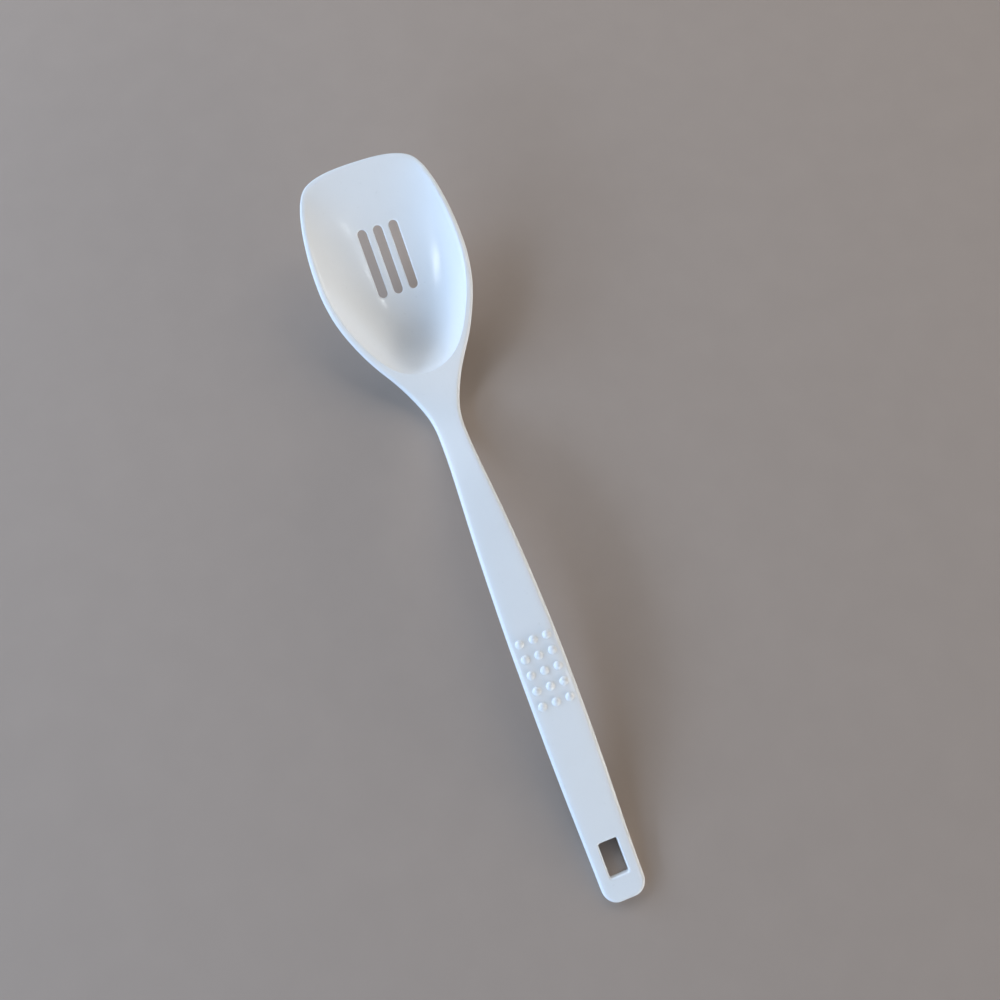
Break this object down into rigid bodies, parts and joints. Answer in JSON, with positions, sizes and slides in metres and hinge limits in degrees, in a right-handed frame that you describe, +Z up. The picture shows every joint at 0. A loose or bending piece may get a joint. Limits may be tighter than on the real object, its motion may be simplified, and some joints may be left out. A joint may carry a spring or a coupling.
{
  "type": "slotted serving spoon",
  "caption": "One-piece white plastic serving spoon with an arched flat handle, studded grip, rectangular hanging hole and a deep slotted bowl with a straight front edge.",
  "frame": {"origin": "on the table under the middle of the bounding box", "axes": "+Y along the spoon from the handle end to the bowl tip, +Z up out of the bowl, +X across the spoon"},
  "size_m": [0.064, 0.305, 0.0379],
  "materials": {
    "white_plastic": "white moulded plastic with a soft gloss and fine wear marks"
  },
  "bodies": {
    "root": {"hanging_end": "white_plastic", "handle": "white_plastic", "grip_studs": "white_plastic", "neck": "white_plastic", "bowl": "white_plastic"}
  },
  "joints": []
}
